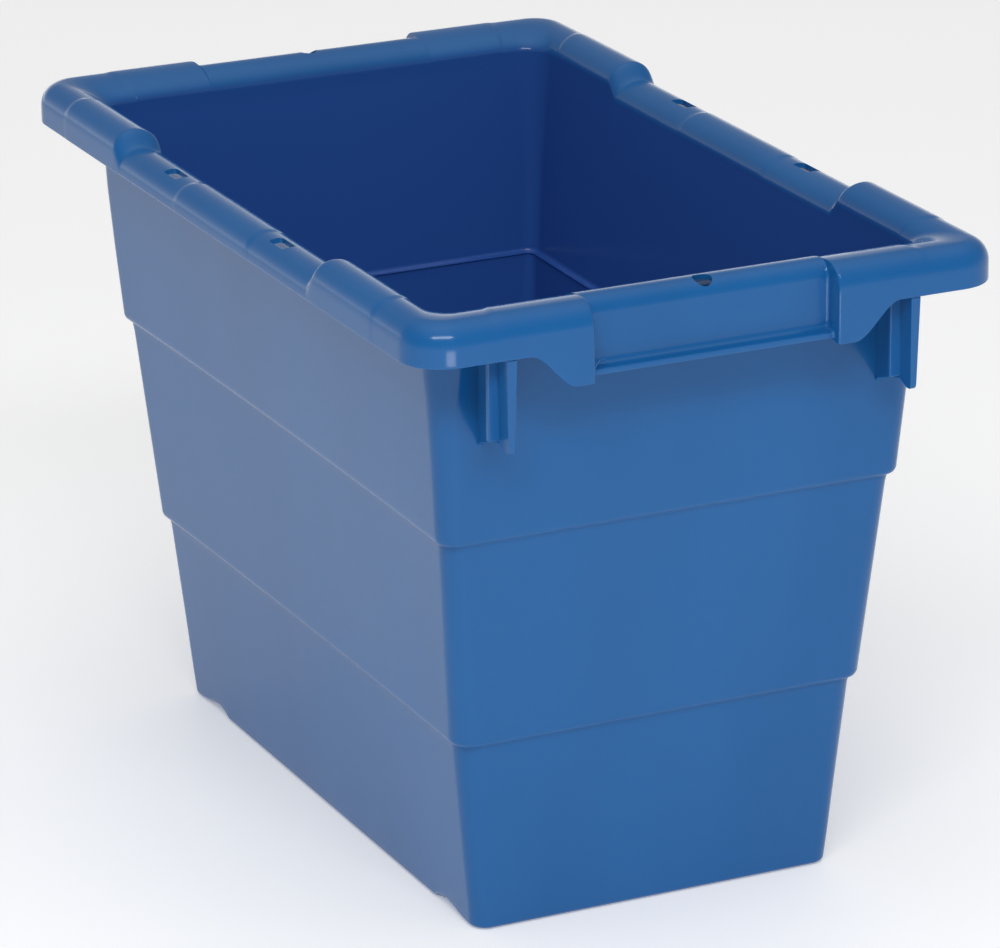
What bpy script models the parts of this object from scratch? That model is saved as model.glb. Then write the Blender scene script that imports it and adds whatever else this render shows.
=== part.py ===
"""Cross-stacking storage tub: one polypropylene moulding, parted at its own feature lines.

Metres, +Z up. The tub stands on z = 0 and is centred on the origin. X runs along its
length, with the two grip ends at +X (front) and -X (rear); +Y is left, -Y is right.
"""
import math

import bmesh
import bpy

MM = 0.001

# Overall size of the rim
RIM_LENGTH = 449.4 * MM
RIM_WIDTH = 279.4 * MM
HEIGHT = 303.0 * MM
RIM_CORNER_R = 20.0 * MM

# Moulding
WALL = 2.5 * MM          # body wall
SKIN = 2.3 * MM          # rim, skirt and grips
FLOOR = 3.0 * MM
PARTING = 0.3 * MM       # gap left between neighbouring sub-parts

# Heights of the steps in the body, floor to rim
FLOOR_UNDERSIDE_Z = 3.6 * MM
PAN_TOP_Z = 14.0 * MM
STEP_Z = (91.4 * MM, 189.9 * MM)
WALL_TOP_Z = 284.5 * MM
SHOULDER_Z = 262.0 * MM   # the upper wall's corners start to widen into the rim here

# Outer half sizes of the body (x, y) at the foot and just above each step
FOOT_HALF = (164.6 * MM, 88.4 * MM)
MIDDLE_HALF = (174.8 * MM, 100.8 * MM)
UPPER_HALF = (187.2 * MM, 112.0 * MM)
STEP_INSET = (3.1 * MM, 3.2 * MM)     # how far the tier below each step stands in
UPPER_DRAFT = (0.080, 0.073)          # outward run of the upper wall per unit height (x, y)
BODY_CORNER_R = (8.0 * MM, 10.5 * MM, 9.5 * MM, 16.0 * MM)    # foot, both steps, top
LOWER_EDGE_R = 3.0 * MM               # rounded lower edge of the upper two tiers
FOOT_EDGE_R = 2.0 * MM
BOW = (0.0, 1.3 * MM, 1.9 * MM, 0.0)   # draw-in of the long walls at mid length

# Rim section
CROWN_R = 10.3 * MM      # outer rounding of the crown
CROWN_DROP = 10.0 * MM   # how far the crown falls towards the inside
SKIRT_Z = 284.0 * MM     # lower edge of the skirt
INNER_LEG_Z = WALL_TOP_Z + PARTING
CORNER_TOP_Z = HEIGHT - 0.6 * MM
RAIL_TOP_Z = 296.2 * MM  # low seats between the corner saddles
RAIL_SLOT_DIP = 0.6 * MM
RAIL_CENTRE_HALF = 42.0 * MM
RAIL_HALF = 107.0 * MM
SADDLE_START = 116.0 * MM
SADDLE_END = 177.0 * MM
INNER_CORNER_R = BODY_CORNER_R[3] - WALL

# Slots in the rail crowns and the hole in each grip
SLOT_X = 61.3 * MM
SLOT_SIZE = (15.0 * MM, 6.6 * MM)
SLOT_IN = 9.8 * MM       # slot centre, measured in from the skirt face
HOLE_R = 4.3 * MM
HOLE_IN = 15.8 * MM

# Grip ends
TAB_EDGE = 58.0 * MM     # half width of the grip opening between the tabs
TAB_FLAT = 66.0 * MM     # the tab's level lower edge ends here
TAB_ROOT = 88.0 * MM     # the S-shaped edge meets the skirt here
TAB_Z = 268.0 * MM
BLOCK_END = 101.5 * MM   # raised stretch of crown beside the grip ends here
GRIP_SETBACK = 10.0 * MM
GRIP_TOP_Z = 302.5 * MM
GRIP_EDGE_R = 5.0 * MM
LIP_OUT = 5.3 * MM
LIP_Z = (269.9 * MM, 272.6 * MM)

# Stop ribs: a fin with a cross plate, two under each end of the rim
RIB_Y = 96.0 * MM
RIB_BOTTOM_Z = 241.5 * MM
RIB_THICK = (3.2 * MM, 4.6 * MM)      # at the bottom, at the skirt
RIB_FRONT = 0.8 * MM                  # fin edge, in from the skirt face
PLATE_IN = 11.2 * MM
PLATE_THICK = 2.4 * MM
PLATE_WIDTH = 13.6 * MM
PLATE_BOTTOM_Z = 245.5 * MM
RIB_TOP_Z = 291.0 * MM

# Arched grooves across the foot that sit on the rails of a tub below
GROOVE_X = 131.0 * MM
GROOVE_DEPTH = 3.5 * MM
GROOVE_HALF = 13.0 * MM

# Mesh fineness
ARC = 7
SIDE_CUTS = 6

BLUE = (0.055, 0.155, 0.40, 1.0)


def remove_scene_objects():
    for obj in list(bpy.data.objects):
        bpy.data.objects.remove(obj, do_unlink=True)


def plastic(name):
    """Semi-gloss blue polypropylene."""
    mat = bpy.data.materials.new(name)
    mat.use_nodes = True
    shader = mat.node_tree.nodes["Principled BSDF"]
    shader.inputs["Base Color"].default_value = BLUE
    shader.inputs["Roughness"].default_value = 0.38
    shader.inputs["Metallic"].default_value = 0.0
    return mat


def add_object(name, bm, parent, smooth=True):
    bmesh.ops.remove_doubles(bm, verts=bm.verts, dist=0.00001)
    bmesh.ops.recalc_face_normals(bm, faces=bm.faces)
    mesh = bpy.data.meshes.new(name)
    bm.to_mesh(mesh)
    bm.free()
    mesh.materials.append(plastic(name))
    for poly in mesh.polygons:
        poly.use_smooth = smooth
    obj = bpy.data.objects.new(name, mesh)
    obj.parent = parent
    bpy.context.scene.collection.objects.link(obj)
    return obj


def cut(obj, cutter):
    """Subtract a hidden cutter with an exact Boolean."""
    cutter.hide_render = True
    cutter.display_type = "WIRE"
    mod = obj.modifiers.new(cutter.name, "BOOLEAN")
    mod.operation = "DIFFERENCE"
    mod.solver = "EXACT"
    mod.object = cutter


def cutter_object(name, bm, parent):
    mesh = bpy.data.meshes.new(name)
    bmesh.ops.recalc_face_normals(bm, faces=bm.faces)
    bm.to_mesh(mesh)
    bm.free()
    obj = bpy.data.objects.new(name, mesh)
    obj.parent = parent
    bpy.context.scene.collection.objects.link(obj)
    return obj


def mix(a, b, t):
    return a + (b - a) * t


def smoothstep(t):
    t = min(max(t, 0.0), 1.0)
    return t * t * (3.0 - 2.0 * t)


def outline(half_x, half_y, radius, bow=0.0):
    """Rounded rectangle, counterclockwise, its long sides drawn in by bow at mid length."""
    points = []
    centres = ((1, 1, 0), (-1, 1, 90), (-1, -1, 180), (1, -1, 270))
    for sx, sy, start in centres:
        cx, cy = sx * (half_x - radius), sy * (half_y - radius)
        for i in range(ARC + 1):
            a = math.radians(start + 90.0 * i / ARC)
            points.append((cx + radius * math.cos(a), cy + radius * math.sin(a)))
        if sx == sy:
            reach = half_x - radius
            for i in range(1, SIDE_CUTS):
                u = 1.0 - 2.0 * i / SIDE_CUTS
                points.append((sx * reach * u, sy * (half_y - bow * (1.0 - u * u))))
    return points


def add_ring(bm, ring):
    half_x, half_y, radius, bow, z = ring
    return [bm.verts.new((x, y, z)) for x, y in outline(half_x, half_y, radius, bow)]


def bridge(bm, lower, upper):
    n = len(lower)
    for i in range(n):
        j = (i + 1) % n
        bm.faces.new((lower[i], lower[j], upper[j], upper[i]))


def ring_body(rings):
    """A closed band: every ring bridged to the next and the last back to the first."""
    bm = bmesh.new()
    loops = [add_ring(bm, ring) for ring in rings]
    for a, b in zip(loops, loops[1:] + loops[:1]):
        bridge(bm, a, b)
    return bm


def inset_ring(half, depth, radius, bow, z):
    """A ring set in by depth from an outer half size, its corner radius shrinking with it."""
    return (half[0] - depth, half[1] - depth, max(radius - depth, 1.5 * MM), bow, z)


def foot_half(z):
    """Outer half size of the lowest tier at height z."""
    t = z / STEP_Z[0]
    return tuple(mix(f, m - STEP_INSET[0], t) for f, m in zip(FOOT_HALF, MIDDLE_HALF))


def upper_half(z):
    return tuple(h + d * (z - STEP_Z[1]) for h, d in zip(UPPER_HALF, UPPER_DRAFT))


def build_floor_pan(root):
    """Floor, its rounded foot ring and the first stretch of wall."""
    bow, radius = BOW[0], BODY_CORNER_R[0]
    top = foot_half(PAN_TOP_Z - PARTING)
    foot_width = 11.0 * MM
    floor_top = FLOOR_UNDERSIDE_Z + FLOOR
    fillet = 5.0 * MM
    bm = bmesh.new()
    rings = [(FOOT_HALF[0] - foot_width - 3 * MM, FOOT_HALF[1] - foot_width - 3 * MM,
              3 * MM, 0.0, FLOOR_UNDERSIDE_Z),
             inset_ring(FOOT_HALF, foot_width, radius, bow, 0.0)]
    for i in range(ARC + 1):
        a = math.radians(90.0 * i / ARC)
        half = foot_half(FOOT_EDGE_R * (1.0 - math.cos(a)))
        depth = FOOT_EDGE_R * (1.0 - math.sin(a))
        rings.append(inset_ring(half, depth, radius + 1 * MM, bow,
                                FOOT_EDGE_R * (1.0 - math.cos(a))))
    rings.append((top[0], top[1], radius + 1 * MM, bow, PAN_TOP_Z - PARTING))
    rings.append(inset_ring(top, WALL, radius + 1 * MM, bow, PAN_TOP_Z - PARTING))
    for i in range(ARC):
        a = math.radians(90.0 * i / (ARC - 1))
        z = floor_top + fillet * (1.0 - math.sin(a))
        depth = WALL + fillet * (1.0 - math.cos(a))
        rings.append(inset_ring(foot_half(z), depth, radius + 2 * MM, bow, z))
    loops = [add_ring(bm, ring) for ring in rings]
    for a, b in zip(loops, loops[1:]):
        bridge(bm, a, b)
    bm.faces.new(loops[0])
    bm.faces.new(loops[-1])
    pan = add_object("floor_pan", bm, root)

    arch_r = (GROOVE_HALF ** 2 + GROOVE_DEPTH ** 2) / (2.0 * GROOVE_DEPTH)
    for sign, name in ((1, "groove_cutter_front"), (-1, "groove_cutter_rear")):
        cyl = bmesh.new()
        bmesh.ops.create_cone(cyl, cap_ends=True, segments=96, radius1=arch_r,
                              radius2=arch_r, depth=RIM_WIDTH)
        cutter = cutter_object(name, cyl, root)
        cutter.rotation_euler = (math.radians(90.0), 0.0, 0.0)
        cutter.location = (sign * GROOVE_X, 0.0, GROOVE_DEPTH - arch_r)
        cut(pan, cutter)


def build_lower_wall(root):
    bow0, bow1 = BOW[0], BOW[1]
    r0, r1 = BODY_CORNER_R[0] + 1 * MM, BODY_CORNER_R[1]
    bottom, top = PAN_TOP_Z, STEP_Z[0] - PARTING
    rings = [(*foot_half(bottom), r0, bow0, bottom), (*foot_half(top), r1, bow1, top),
             inset_ring(foot_half(top), WALL, r1, bow1, top),
             inset_ring(foot_half(bottom), WALL, r0, bow0, bottom)]
    add_object("lower_wall", ring_body(rings), root)


def build_stepped_wall(name, half, top_half, z0, z1, inset, radii, bows, root, shoulder=()):
    """A wall tier standing on a narrow ledge, with a rounded lower outer edge."""
    r0, r1 = radii
    b0, b1 = bows
    ledge = inset + WALL
    rings = [inset_ring(half, ledge, r0, b0, z0), inset_ring(half, LOWER_EDGE_R, r0, b0, z0)]
    for i in range(1, 5):
        a = math.radians(90.0 * i / 4)
        rings.append(inset_ring(half, LOWER_EDGE_R * (1.0 - math.sin(a)), r0, b0,
                                z0 + LOWER_EDGE_R * (1.0 - math.cos(a))))
    rings += [(*h, r, b, z) for h, r, b, z in shoulder]
    rings.append((*top_half, r1, b1, z1))
    rings.append(inset_ring(top_half, WALL, r1, b1, z1))
    rings += [inset_ring(h, WALL, r, b, z) for h, r, b, z in shoulder]
    rings.append(inset_ring(half, WALL, r0, b0, z0 + WALL + 1.2 * MM))
    rings.append(inset_ring(half, WALL + 0.8 * MM, r0, b0, z0 + WALL))
    rings.append(inset_ring(half, ledge, r0, b0, z0 + WALL - 0.6 * MM))
    add_object(name, ring_body(rings), root)


def build_walls(root):
    build_lower_wall(root)
    middle_top = tuple(u - STEP_INSET[1] for u in UPPER_HALF)
    build_stepped_wall("middle_wall", MIDDLE_HALF, middle_top, STEP_Z[0], STEP_Z[1] - PARTING,
                       STEP_INSET[0], BODY_CORNER_R[1:3], BOW[1:3], root)
    shoulder = (upper_half(SHOULDER_Z), BODY_CORNER_R[2] + 1 * MM, 0.25 * BOW[2], SHOULDER_Z)
    build_stepped_wall("upper_wall", UPPER_HALF, upper_half(WALL_TOP_Z), STEP_Z[1], WALL_TOP_Z,
                       STEP_INSET[1], BODY_CORNER_R[2:4], BOW[2:4], root, (shoulder,))


def rim_section(width, top, skirt, skin_out):
    """Inverted-U section as (distance in from the skirt face, z), outer face first."""
    section = [(0.0, skirt), (0.0, 0.5 * (skirt + top - CROWN_R))]
    for i in range(ARC):
        a = math.radians(90.0 * i / (ARC - 1))
        section.append((CROWN_R * (1.0 - math.cos(a)), top - CROWN_R * (1.0 - math.sin(a))))
    for i in range(1, ARC + 1):
        a = math.radians(90.0 * i / ARC)
        section.append((CROWN_R + (width - CROWN_R) * math.sin(a),
                        top - CROWN_DROP * (1.0 - math.cos(a))))
    leg = min(INNER_LEG_Z, top - CROWN_DROP - 0.5 * MM)
    section += [(width, leg), (width - WALL, leg)]
    for i in range(ARC):
        a = math.radians(90.0 * (1.0 - i / ARC))
        section.append((CROWN_R + (width - WALL - CROWN_R) * math.sin(a),
                        top - CROWN_DROP + (CROWN_DROP - SKIN) * math.cos(a)))
    for i in range(ARC):
        a = math.radians(90.0 * (1.0 - i / (ARC - 1)))
        section.append((CROWN_R - (CROWN_R - skin_out) * math.cos(a),
                        top - CROWN_R + (CROWN_R - SKIN) * math.sin(a)))
    section += [(skin_out, 0.5 * (skirt + top - CROWN_R)), (skin_out, skirt)]
    return section


def sweep(stations):
    """Closed body from sections hung on (skirt, crown, inner) points along the rim."""
    bm = bmesh.new()
    loops = []
    for skirt, crown, inner, section in stations:
        loop = []
        for s, z in section:
            start, end = (skirt, crown) if s <= CROWN_R else (crown, inner)
            run = s if s <= CROWN_R else s - CROWN_R
            span = math.dist(start, end)
            loop.append(bm.verts.new((mix(start[0], end[0], run / span),
                                      mix(start[1], end[1], run / span), z)))
        loops.append(loop)
    for a, b in zip(loops, loops[1:]):
        bridge(bm, a, b)
    bm.faces.new(loops[0])
    bm.faces.new(loops[-1])
    return bm


def rim_inner_half():
    top = upper_half(WALL_TOP_Z)
    return (top[0] - WALL, top[1] - WALL)


def tab_skirt_z(y):
    """Lower edge of the skirt on an end: level tab, S-curve, then the plain skirt."""
    return mix(TAB_Z, SKIRT_Z, smoothstep((abs(y) - TAB_FLAT) / (TAB_ROOT - TAB_FLAT)))


def side_station(x, section):
    """Station square across a long side of the +X +Y quadrant."""
    hy = RIM_WIDTH / 2
    return (x, hy), (x, hy - CROWN_R), (x, rim_inner_half()[1]), section


def end_station(y, section):
    """Station square across the +X end."""
    hx = RIM_LENGTH / 2
    return (hx, y), (hx - CROWN_R, y), (rim_inner_half()[0], y), section


def turn_station(a):
    """Station at angle a round the corner."""
    rim_centre = (RIM_LENGTH / 2 - RIM_CORNER_R, RIM_WIDTH / 2 - RIM_CORNER_R)
    wall_centre = tuple(h - INNER_CORNER_R for h in rim_inner_half())
    ca, sa = math.cos(a), math.sin(a)
    skirt, crown = ((rim_centre[0] + r * ca, rim_centre[1] + r * sa)
                    for r in (RIM_CORNER_R, RIM_CORNER_R - CROWN_R))
    inner = (wall_centre[0] + INNER_CORNER_R * ca, wall_centre[1] + INNER_CORNER_R * sa)
    width = CROWN_R + math.dist(crown, inner)
    return skirt, crown, inner, rim_section(width, CORNER_TOP_Z, SKIRT_Z, SKIN)


def corner_stations():
    """Rim corner of the +X +Y quadrant, from the saddle's foot round to the grip."""
    ix, iy = rim_inner_half()
    long_width = RIM_WIDTH / 2 - iy
    end_width = RIM_LENGTH / 2 - ix
    foot = RAIL_HALF + PARTING
    stations = []
    rise = SADDLE_START - foot
    for i in range(6):
        x = foot + rise * i / 5
        top = mix(RAIL_TOP_Z - RAIL_SLOT_DIP, HEIGHT, smoothstep((x - foot) / rise))
        stations.append(side_station(x, rim_section(long_width, top, SKIRT_Z, SKIN)))
    for x, top in ((SADDLE_END, HEIGHT), (SADDLE_END + 1 * MM, CORNER_TOP_Z)):
        stations.append(side_station(x, rim_section(long_width, top, SKIRT_Z, SKIN)))
    turns = 2 * ARC
    stations += [turn_station(math.radians(90.0 * (1.0 - i / turns))) for i in range(turns + 1)]
    ends = [(BLOCK_END + 0.5 * MM, CORNER_TOP_Z), (BLOCK_END - 0.5 * MM, HEIGHT)]
    steps = 10
    ends += [(mix(TAB_ROOT, TAB_FLAT, i / steps), HEIGHT) for i in range(steps + 1)]
    for y, top in ends:
        stations.append(end_station(y, rim_section(end_width, top, tab_skirt_z(y), SKIN)))
    web = TAB_EDGE + PARTING
    for y, skin_out in ((web + SKIN + 0.05 * MM, SKIN), (web + SKIN, GRIP_SETBACK),
                        (web, GRIP_SETBACK)):
        section = rim_section(end_width, HEIGHT, tab_skirt_z(y), skin_out)
        stations.append(end_station(y, section))
    return stations


def mirrored(stations, sx, sy):
    return [tuple((x * sx, y * sy) for x, y in points) + (section,)
            for *points, section in stations]


def build_rim_corners(root):
    for end, sx in (("front", 1), ("rear", -1)):
        for side, sy in (("left", 1), ("right", -1)):
            stations = mirrored(corner_stations(), sx, sy)
            add_object(f"rim_corner_{end}_{side}", sweep(stations), root)


def build_rails(root):
    """Low long rails with a slightly raised middle and two slots each."""
    hy = RIM_WIDTH / 2
    iy = rim_inner_half()[1]
    low = RAIL_TOP_Z - RAIL_SLOT_DIP
    half_steps = ((RAIL_CENTRE_HALF - 0.5 * MM, RAIL_TOP_Z), (RAIL_CENTRE_HALF + 0.5 * MM, low),
                  (RAIL_HALF, low))
    profile = [(-x, top) for x, top in reversed(half_steps)] + list(half_steps)
    for side, sy in (("left", 1), ("right", -1)):
        stations = [side_station(x, rim_section(hy - iy, top, SKIRT_Z, SKIN))
                    for x, top in profile]
        rail = add_object(f"rail_{side}", sweep(mirrored(stations, 1, sy)), root)
        for end, sx in (("front", 1), ("rear", -1)):
            box = bmesh.new()
            bmesh.ops.create_cube(box, size=1.0)
            bmesh.ops.scale(box, verts=box.verts, vec=(*SLOT_SIZE, 12 * MM))
            cutter = cutter_object(f"slot_cutter_{side}_{end}", box, root)
            cutter.location = (sx * SLOT_X, sy * (hy - SLOT_IN), low)
            cut(rail, cutter)


def grip_section():
    """Set-back grip: crown, flat panel and a short out-turned lip along the bottom."""
    width = RIM_LENGTH / 2 - rim_inner_half()[0]
    face, top, r = GRIP_SETBACK, GRIP_TOP_Z, GRIP_EDGE_R
    crown = face + r
    lip = face - LIP_OUT
    section = [(lip, LIP_Z[0]), (lip, LIP_Z[1])]
    for i in range(4):
        a = math.radians(90.0 * i / 3)
        section.append((face - 3 * MM * (1.0 - math.sin(a)),
                        LIP_Z[1] + 0.4 * MM + 3 * MM * (1.0 - math.cos(a))))
    for i in range(ARC):
        a = math.radians(90.0 * i / (ARC - 1))
        section.append((crown - r * math.cos(a), top - r * (1.0 - math.sin(a))))
    for i in range(1, ARC + 1):
        a = math.radians(90.0 * i / ARC)
        section.append((crown + (width - crown) * math.sin(a),
                        top - CROWN_DROP * (1.0 - math.cos(a))))
    section += [(width, INNER_LEG_Z), (width - WALL, INNER_LEG_Z)]
    for i in range(ARC):
        a = math.radians(90.0 * (1.0 - i / ARC))
        section.append((crown + (width - WALL - crown) * math.sin(a),
                        top - CROWN_DROP + (CROWN_DROP - SKIN) * math.cos(a)))
    for i in range(4):
        a = math.radians(90.0 * (1.0 - i / 3))
        section.append((crown - (r - SKIN) * math.cos(a), top - r + (r - SKIN) * math.sin(a)))
    section.append((face + SKIN, LIP_Z[0]))
    return section


def build_grips(root):
    hx = RIM_LENGTH / 2
    for end, sx in (("front", 1), ("rear", -1)):
        stations = [end_station(y, grip_section()) for y in (-TAB_EDGE, TAB_EDGE)]
        grip = add_object(f"grip_{end}", sweep(mirrored(stations, sx, 1)), root)
        hole = bmesh.new()
        bmesh.ops.create_cone(hole, cap_ends=True, segments=32, radius1=HOLE_R,
                              radius2=HOLE_R, depth=16 * MM)
        cutter = cutter_object(f"hole_cutter_{end}", hole, root)
        cutter.location = (sx * (hx - HOLE_IN), 0.0, GRIP_TOP_Z)
        cut(grip, cutter)


def rib_levels():
    """Outline of the cross-shaped rib at each height: fin thickness and its two ends."""
    hx = RIM_LENGTH / 2
    levels = []
    for z in (PLATE_BOTTOM_Z, 270 * MM, SKIRT_Z - PARTING, RIB_TOP_Z):
        t = (z - RIB_BOTTOM_Z) / (SKIRT_Z - RIB_BOTTOM_Z)
        thick = mix(RIB_THICK[0], RIB_THICK[1], min(t, 1.0))
        root_x = upper_half(min(z, WALL_TOP_Z))[0] + PARTING
        tip_x = hx - mix(RIB_FRONT + 1.4 * MM, RIB_FRONT, min(t, 1.0))
        levels.append((z, thick / 2, root_x, tip_x))
    return levels


def build_stop_rib(name, sx, sy, root):
    """Fin standing out from the end wall under the rim, crossed by a narrow plate."""
    hx = RIM_LENGTH / 2
    plate_x = (hx - PLATE_IN - PLATE_THICK, hx - PLATE_IN)
    inside_skirt = hx - SKIN - PARTING
    bm = bmesh.new()
    loops = []

    def cross(z, half, root_x, tip_x, arm):
        corners = [(root_x, -half), (plate_x[0], -half), (plate_x[0], -arm), (plate_x[1], -arm),
                   (plate_x[1], -half), (tip_x, -half)]
        corners += [(x, -y) for x, y in reversed(corners)]
        loops.append([bm.verts.new((sx * x, sy * (RIB_Y + y), z)) for x, y in corners])

    half0 = RIB_THICK[0] / 2
    root0 = upper_half(RIB_BOTTOM_Z)[0] + PARTING
    tip0 = hx - RIB_FRONT - 1.4 * MM
    cross(RIB_BOTTOM_Z - 2.0 * MM, half0 - 0.8 * MM, root0, tip0 - 2.4 * MM, half0 - 0.4 * MM)
    cross(RIB_BOTTOM_Z + 1.0 * MM, half0, root0, tip0, half0 + 0.4 * MM)
    cross(PLATE_BOTTOM_Z - 0.3 * MM, half0, root0, tip0, half0 + 0.4 * MM)
    for z, half, root_x, tip_x in rib_levels():
        arm = PLATE_WIDTH / 2
        if z > SKIRT_Z - 1 * MM and z < RIB_TOP_Z:
            cross(z, half, root_x, tip_x, arm)
            cross(z + 0.02 * MM, half, root_x, inside_skirt, arm)
        elif z >= RIB_TOP_Z:
            cross(z, half, root_x, inside_skirt, arm)
        else:
            cross(z, half, root_x, tip_x, arm)
    for a, b in zip(loops, loops[1:]):
        bridge(bm, a, b)
    bm.faces.new(loops[0])
    bm.faces.new(loops[-1])
    add_object(name, bm, root, smooth=False)


def build_stop_ribs(root):
    for end, sx in (("front", 1), ("rear", -1)):
        for side, sy in (("left", 1), ("right", -1)):
            build_stop_rib(f"stop_rib_{end}_{side}", sx, sy, root)


def main():
    remove_scene_objects()
    root = bpy.data.objects.new("storage_tub", None)
    bpy.context.scene.collection.objects.link(root)
    build_floor_pan(root)
    build_walls(root)
    build_rails(root)
    build_rim_corners(root)
    build_grips(root)
    build_stop_ribs(root)


main()
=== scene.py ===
"""Looks of the cross-stacking tub: one unbroken moulded skin, its plastic, light and camera."""
import math

import bmesh
import bpy
from mathutils import Matrix, Vector


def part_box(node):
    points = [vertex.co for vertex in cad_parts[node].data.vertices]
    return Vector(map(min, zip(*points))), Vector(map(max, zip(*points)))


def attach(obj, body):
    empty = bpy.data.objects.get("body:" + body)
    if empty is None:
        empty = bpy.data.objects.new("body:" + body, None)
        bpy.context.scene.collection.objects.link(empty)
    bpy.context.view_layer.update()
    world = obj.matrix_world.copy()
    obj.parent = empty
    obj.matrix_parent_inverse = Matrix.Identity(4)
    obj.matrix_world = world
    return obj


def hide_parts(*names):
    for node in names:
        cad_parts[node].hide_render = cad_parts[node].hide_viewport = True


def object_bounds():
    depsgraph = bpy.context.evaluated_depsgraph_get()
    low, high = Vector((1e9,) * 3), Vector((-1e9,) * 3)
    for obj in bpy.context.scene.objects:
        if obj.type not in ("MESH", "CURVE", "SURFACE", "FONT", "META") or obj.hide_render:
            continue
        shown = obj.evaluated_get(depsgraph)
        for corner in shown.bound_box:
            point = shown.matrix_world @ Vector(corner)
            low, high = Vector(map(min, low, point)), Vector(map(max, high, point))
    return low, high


MM = 0.001

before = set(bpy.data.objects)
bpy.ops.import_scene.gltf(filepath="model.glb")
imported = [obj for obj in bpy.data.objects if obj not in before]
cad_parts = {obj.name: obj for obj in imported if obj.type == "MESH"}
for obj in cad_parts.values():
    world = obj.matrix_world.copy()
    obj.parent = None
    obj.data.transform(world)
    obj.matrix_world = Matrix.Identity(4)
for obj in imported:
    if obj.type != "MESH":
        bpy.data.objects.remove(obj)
cad_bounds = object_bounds()

# ---------------------------------------------------------------- sizes from the frame

HX, HY, TOP = cad_bounds[1]
PAN_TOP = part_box("lower_wall")[0].z
STEP_Z = (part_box("middle_wall")[0].z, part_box("upper_wall")[0].z)
RIM_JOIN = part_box("upper_wall")[1].z
TIER_TOP = [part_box(n)[1] for n in ("floor_pan", "lower_wall", "middle_wall", "upper_wall")]
RAIL_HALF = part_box("rail_left")[1].x
RAIL_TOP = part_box("rail_left")[1].z
TAB_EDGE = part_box("grip_front")[1].y
TAB_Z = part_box("rim_corner_front_left")[0].z
SKIRT_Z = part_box("rail_left")[0].z
GRIP_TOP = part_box("grip_front")[1].z
LIP_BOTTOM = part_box("grip_front")[0].z

# ---------------------------------------------------------------- moulding details

WALL = 2.5 * MM
SKIN = 2.3 * MM
FLOOR = 3.0 * MM
FLOOR_UNDERSIDE = 3.6 * MM
STEP_INSET = (3.1 * MM, 3.2 * MM)
BODY_R = (8.0 * MM, 10.5 * MM, 9.5 * MM, 16.0 * MM)
BOW = (0.0, 1.3 * MM, 1.9 * MM, 0.0)
STEP_EDGE = (2.3 * MM, 3.8 * MM)
STEP_FILLET_RISE = 2.4 * MM
FOOT_EDGE_R = 2.0 * MM
FOOT_WIDTH = 11.0 * MM
FLOOR_FILLET = 5.0 * MM
LEDGE_SWEEP = (2.2 * MM, 2.6 * MM)
LEDGE_EDGE_R = 0.9 * MM
THINNEST_R = 1.5 * MM

CROWN_R = 10.3 * MM
CROWN_DROP = 10.0 * MM
RIM_R = 20.0 * MM
WALL_R = BODY_R[3] - WALL
CORNER_DIP = 0.4 * MM
SEAM_STEP = 0.15 * MM
SEAM_RUN = 5.0 * MM
SADDLE_START = 116.0 * MM
SADDLE_END = 177.0 * MM
BLOCK_END = 101.5 * MM
RAIL_CENTRE_HALF = 42.0 * MM
RAIL_DIP = 0.4 * MM
TAB_FLAT = 66.0 * MM
TAB_ROOT = 88.0 * MM
TAB_EDGE_R = 1.5 * MM
EDGE = 0.5 * MM

GRIP_SETBACK = 10.0 * MM
GRIP_EDGE_R = 7.5 * MM
LIP_FACE = 4.7 * MM
LIP_TOP = LIP_BOTTOM + 2.7 * MM
LIP_FILLET = 3.0 * MM

SLOT_X = 61.3 * MM
SLOT_SIZE = (15.0 * MM, 6.6 * MM)
SLOT_IN = 9.8 * MM
HOLE_R = 4.3 * MM
HOLE_IN = 15.8 * MM

GROOVE_X = 131.0 * MM
GROOVE_DEPTH = 3.5 * MM
GROOVE_HALF = (12.0 * MM, 25.0 * MM)
GROOVE_STEEPNESS = (0.7, 2.2)
GROOVE_NARROWING = 0.6
GROOVE_FADE_Z = 9.0 * MM

RIB_Y = 96.0 * MM
RIB_FRONT = 0.8 * MM
PLATE_IN = 11.2 * MM
PLATE_THICK = 2.4 * MM
PLATE_WIDTH = 13.6 * MM
PLATE_BOTTOM = 245.5 * MM
RIB_BOTTOM = 241.5 * MM
RIB_ROOT = 236.0 * MM
RIB_TOP = 291.0 * MM
RIB_HALF_THICK = (1.5 * MM, 2.3 * MM)
RIB_ROUNDING = 0.55 * MM
WALL_SLOPE = 0.08

FLASH_R = 0.28 * MM

SMOOTH_BELOW = math.radians(50)
INSIDE_FADE_ROWS = 5


def mix(a, b, t):
    return a + (b - a) * t


def smoothstep(t):
    t = min(max(t, 0.0), 1.0)
    return t * t * (3.0 - 2.0 * t)


def spread(a, b, n):
    """n values from a to just short of b."""
    return [mix(a, b, i / n) for i in range(n)]


def arc(n):
    """n angles over a quarter turn, both ends included."""
    return [math.radians(90.0 * i / (n - 1)) for i in range(n)]


# ---------------------------------------------------------------- stations round the tub

WALL_HALF = (TIER_TOP[3].x - WALL, TIER_TOP[3].y - WALL)
RIM_REACH = (HX - RIM_R, HY - RIM_R)
WALL_REACH = (WALL_HALF[0] - WALL_R, WALL_HALF[1] - WALL_R)
KNEE_RUN = 9.0 * MM


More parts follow.
